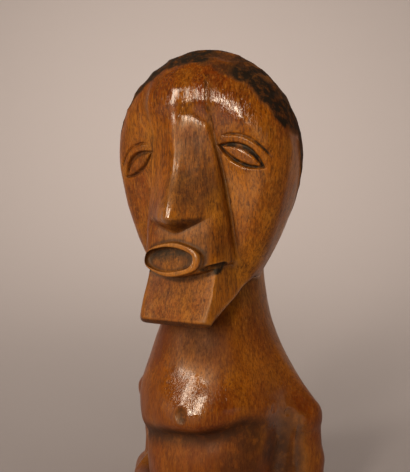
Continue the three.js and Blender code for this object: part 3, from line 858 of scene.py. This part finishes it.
def hardwood():
    """Dense orange-brown hardwood, cut with a knife and rubbed to a gloss with wax and handling. The eye
    sees upright dark pores, redder and darker patches, black-brown stain in the cuts, painted shade in the
    hollows, under the overhangs and lower down the body, and sharp highlights."""
    material = bpy.data.materials.new("polished hardwood")
    material.use_nodes = True
    tree = material.node_tree
    tree.nodes.clear()
    place = node(tree, "ShaderNodeTexCoord").outputs["Object"]

    colour = linear("b0640f")
    covers = []
    for size, stretch, detail, rough, low, high, amount, tone in WOOD_PATTERN:
        across = 1 / MM / size
        grid = node(tree, "ShaderNodeMapping", {"Vector": place, "Location": (size, 0, 0),
                                                "Scale": (across, across, across / stretch)})
        noise = node(tree, "ShaderNodeTexNoise", {"Vector": grid.outputs[0], "Scale": 1, "Detail": detail,
                                                  "Roughness": rough})
        cover = node(tree, "ShaderNodeMapRange", {0: noise.outputs["Fac"], 1: low, 2: high, 4: amount})
        colour = node(tree, "ShaderNodeMix", {0: cover.outputs[0], 6: colour, 7: linear(tone)},
                      data_type="RGBA").outputs[2]
        covers.append(cover.outputs[0])
    pores = covers[PORES_ROW]

    for name, low, high, amount, size, tone in FORM_COLOURS:
        layer = node(tree, "ShaderNodeAttribute", attribute_name=name)
        spread = node(tree, "ShaderNodeMapRange", {0: layer.outputs["Fac"], 1: low, 2: high, 4: amount})
        grid = node(tree, "ShaderNodeMapping", {"Vector": place, "Scale": (1 / MM / size,) * 3})
        noise = node(tree, "ShaderNodeTexNoise", {"Vector": grid.outputs[0], "Scale": 1, "Detail": 4,
                                                  "Roughness": 0.65})
        broken = node(tree, "ShaderNodeMapRange", {0: noise.outputs["Fac"], 1: 0.3, 2: 0.52, 3: 0.35, 4: 1})
        cover = node(tree, "ShaderNodeMath", {0: spread.outputs[0], 1: broken.outputs[0]},
                     operation="MULTIPLY")
        colour = node(tree, "ShaderNodeMix", {0: cover.outputs[0], 6: colour, 7: linear(tone)},
                      data_type="RGBA").outputs[2]
        if name == "hair":
            hair = cover.outputs[0]

    # Roughness: satin where it isn't polished, and less even in patches, in the pores and on the hair
    handled = node(tree, "ShaderNodeAttribute", attribute_name="polish")
    satin = node(tree, "ShaderNodeMapRange", {0: handled.outputs["Fac"], 1: 0, 2: 1, 3: 0.6, 4: 0.08})
    worn_grid = node(tree, "ShaderNodeMapping", {"Vector": place, "Scale": (1 / MM / 6,) * 3})
    worn = node(tree, "ShaderNodeTexNoise", {"Vector": worn_grid.outputs[0], "Scale": 1, "Detail": 4})
    patches = node(tree, "ShaderNodeMapRange", {0: worn.outputs["Fac"], 1: 0.35, 2: 0.7, 3: -0.03, 4: 0.08})
    uneven = node(tree, "ShaderNodeMath", {0: satin.outputs[0], 1: patches.outputs[0]}, operation="ADD")
    in_pores = node(tree, "ShaderNodeMath", {0: pores, 1: 0.15, 2: uneven.outputs[0]},
                    operation="MULTIPLY_ADD")
    roughness = node(tree, "ShaderNodeMath", {0: hair, 1: 0.9, 2: in_pores.outputs[0]},
                     operation="MULTIPLY_ADD")

    # Wax: a thin coat, only where the wood is polished
    waxed = node(tree, "ShaderNodeMapRange", {0: handled.outputs["Fac"], 1: 0.7, 2: 1, 3: 0, 4: 1})

    # Relief: open pores, fine scratches that cross each other, and the ripple that the scraper leaves
    fibre = node(tree, "ShaderNodeBump", {"Strength": 0.4, "Distance": -0.05 * MM, "Height": pores})
    normal = fibre.outputs[0]
    hatch = node(tree, "ShaderNodeAttribute", attribute_name="hatch")
    crossed = node(tree, "ShaderNodeMapRange", {0: hatch.outputs["Fac"], 1: 0, 2: 1, 3: 0.1, 4: 1})
    across, along = 1 / MM / SCRATCH_WIDTH, 1 / MM / SCRATCH_LENGTH
    for turn in SCRATCH_TURNS:
        grid = node(tree, "ShaderNodeMapping", {"Vector": place, "Rotation": (0, math.radians(turn), 0),
                                                "Scale": (across, across, along)})
        noise = node(tree, "ShaderNodeTexNoise", {"Vector": grid.outputs[0], "Scale": 1, "Detail": 1})
        scratch = node(tree, "ShaderNodeMapRange", {0: noise.outputs["Fac"], 1: 0.55, 2: 0.66, 3: 0, 4: 1})
        normal = node(tree, "ShaderNodeBump", {"Strength": crossed.outputs[0],
                                               "Distance": SCRATCH_DEPTH * MM,
                                               "Height": scratch.outputs[0], "Normal": normal}).outputs[0]
    across, along = 1 / MM / RIPPLE_WIDTH, 1 / MM / RIPPLE_LENGTH
    grid = node(tree, "ShaderNodeMapping", {"Vector": place, "Scale": (across, across, along)})
    ripple = node(tree, "ShaderNodeTexNoise", {"Vector": grid.outputs[0], "Scale": 1, "Detail": 3})
    normal = node(tree, "ShaderNodeBump", {"Strength": 0.5, "Distance": RIPPLE_DEPTH * MM,
                                           "Height": ripple.outputs["Fac"], "Normal": normal}).outputs[0]

    shader = node(tree, "ShaderNodeBsdfPrincipled",
                  {"Base Color": colour, "Roughness": roughness.outputs[0], "Normal": normal,
                   "Specular IOR Level": 0.45, "Specular Tint": linear("ffe2bc"), "IOR": 1.5,
                   "Coat Weight": waxed.outputs[0], "Coat Roughness": 0.09, "Coat IOR": 1.5,
                   "Coat Normal": normal})
    node(tree, "ShaderNodeOutputMaterial", {"Surface": shader.outputs[0]})
    return material


def studio_paper():
    """Matt seamless paper: no gloss, and no pattern."""
    material = bpy.data.materials.new("studio paper")
    material.use_nodes = True
    shader = material.node_tree.nodes["Principled BSDF"]
    shader.inputs["Base Color"].default_value = linear("b3aaa8")
    shader.inputs["Roughness"].default_value = 0.9
    shader.inputs["Specular IOR Level"].default_value = 0.1
    return material


# Stage, in metres
FLOOR_RADIUS = 0.45
COVE_RADIUS = 1.15
WALL_HEIGHT = 2.4
VIEW_RIGHT = Vector((math.cos(VIEW_AZIMUTH), math.sin(VIEW_AZIMUTH), 0))
VIEW_NEAR = Vector((math.sin(VIEW_AZIMUTH), -math.cos(VIEW_AZIMUTH), 0))
LIGHT_TARGET = Vector((0, 0, 0.12))
WALL_TARGET = VIEW_NEAR * -1.3 + Vector((0, 0, 0.56))
FLOOR_TARGET = VIEW_NEAR * -0.2 + VIEW_RIGHT * 0.25
OPEN_FRONT = 0.5  # the wall is left out this far towards the camera, and so doesn't show in the polish


def studio_floor():
    """A pale floor that turns up into a round wall, open towards the camera."""
    bm = bmesh.new()
    profile = [bm.verts.new((0, 0, 0)), bm.verts.new((FLOOR_RADIUS, 0, 0))]
    for i in range(1, 13):
        turn = math.radians(90 * i / 12)
        profile.append(bm.verts.new((FLOOR_RADIUS + COVE_RADIUS * math.sin(turn), 0,
                                     COVE_RADIUS * (1 - math.cos(turn)))))
    profile.append(bm.verts.new((FLOOR_RADIUS + COVE_RADIUS, 0, WALL_HEIGHT)))
    edges = [bm.edges.new(pair) for pair in zip(profile, profile[1:])]
    bmesh.ops.spin(bm, geom=profile + edges, cent=(0, 0, 0), axis=(0, 0, 1), angle=math.tau, steps=72,
                   use_merge=True)
    bmesh.ops.remove_doubles(bm, verts=bm.verts, dist=1e-5)
    bmesh.ops.recalc_face_normals(bm, faces=bm.faces)
    bmesh.ops.bisect_plane(bm, geom=bm.verts[:] + bm.edges[:] + bm.faces[:], plane_co=VIEW_NEAR * OPEN_FRONT,
                           plane_no=VIEW_NEAR, clear_outer=True)
    mesh = bpy.data.meshes.new("studio_floor")
    bm.to_mesh(mesh)
    bm.free()
    mesh.shade_smooth()
    mesh.materials.append(studio_paper())
    floor = bpy.data.objects.new("studio_floor", mesh)
    bpy.context.collection.objects.link(floor)


def softbox(name, azimuth, elevation, distance, size, power, aim=LIGHT_TARGET, roll=0):
    """Area light round the figure. Azimuth is measured from the camera to the picture's right."""
    az, el = math.radians(azimuth), math.radians(elevation)
    level = VIEW_RIGHT * math.sin(az) + VIEW_NEAR * math.cos(az)
    way = level * math.cos(el) + Vector((0, 0, math.sin(el)))
    lamp = bpy.data.lights.new(name, "AREA")
    lamp.shape = "RECTANGLE"
    lamp.size, lamp.size_y = size
    lamp.energy = power
    lamp.color = linear("fff4e6")[:3]
    light = bpy.data.objects.new(name, lamp)
    light.location = LIGHT_TARGET + way * distance
    light.rotation_mode = "QUATERNION"
    upright = (light.location - aim).to_track_quat("Z", "Y")
    light.rotation_quaternion = upright @ Quaternion((0, 0, 1), math.radians(roll))
    light.visible_camera = False
    bpy.context.collection.objects.link(light)
    return light


def studio_light():
    """Two tall windows on the left, which make the highlights, and soft light for shade and paper."""
    softbox("window left", -60, 16, 1.0, (0.2, 0.68), 4.0, roll=-12)
    softbox("window middle", -29, 13, 1.0, (0.13, 0.58), 4.4)
    fills = (
        softbox("fill right", 60, 16, 1.2, (0.5, 0.6), 2.6),
        softbox("fill above", 10, 55, 1.1, (0.6, 0.6), 1.5),
        softbox("floor light", 100, 60, 0.6, (0.2, 0.2), 0.4, aim=FLOOR_TARGET),
    )
    for fill in fills:
        fill.visible_glossy = False  # as if very large: it lifts the shade without a highlight of its own
    softbox("wall light", 185, 60, 1.1, (0.7, 0.5), 11.3, aim=WALL_TARGET)
    world = bpy.data.worlds.new("studio air")
    world.use_nodes = True
    world.node_tree.nodes["Background"].inputs["Color"].default_value = linear("cfc8c2")
    world.node_tree.nodes["Background"].inputs["Strength"].default_value = 0.04
    bpy.context.scene.world = world


def camera():
    """A level camera at the photograph's place, shifted so that the figure stands right of the middle."""
    lens = bpy.data.cameras.new("camera")
    lens.lens = LENS
    lens.shift_x = -AXIS_RIGHT_OF_CENTRE / IMAGE_HEIGHT
    lens.clip_start = 0.01
    eye = bpy.data.objects.new("camera", lens)
    eye.location = VIEW_NEAR * VIEW_DISTANCE * MM + Vector((0, 0, VIEW_HEIGHT * MM))
    eye.rotation_euler = (math.radians(90), 0, VIEW_AZIMUTH)
    bpy.context.collection.objects.link(eye)
    bpy.context.scene.camera = eye


def carved_figure():
    piece = even_copy(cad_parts["figure"], FIRST_SPACING)
    points, normals, stain_and_shade, hair, shade = carve(piece)
    near, far, edge = hollow_and_edge(points, normals)
    under = overhang(points, normals)
    rubbed = POLISH_ON_EDGES * ramp(0.08, 0.3, edge) * (1 - under)
    polish = 0.5 + 0.5 * blobs(points, POLISH) - 0.5 * blobs(points, DULL) + rubbed - 0.7 * stain_and_shade
    layers = {
        "stain_and_shade": stain_and_shade,
        "hair": hair,
        "painted_shade_near": near,
        "painted_shade_far": far,
        "edge": edge * (1 - under),
        # soot together with painted shade on undersides, under the fold and in the arm's hollow
        "soot_and_shade": np.max([blobs(points, SOOT_AND_SHADE), under, shade], axis=0),
        "polish": np.clip(polish, 0, 1),
        "hatch": blobs(points, HATCH),
        # painted shade: darker and redder lower down, in two steps
        "body": 1 - 0.5 * ramp(*DARKER_NECK_Z, points[2]) - 0.5 * ramp(*DARKER_CHEST_Z, points[2]),
    }
    for name, values in layers.items():
        write_layer(piece.data, name, values)
    piece.data.materials.append(hardwood())
    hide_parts("figure")
    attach(piece, "root")


camera()
studio_floor()
studio_light()
carved_figure()
bpy.context.scene.view_settings.view_transform = "Standard"
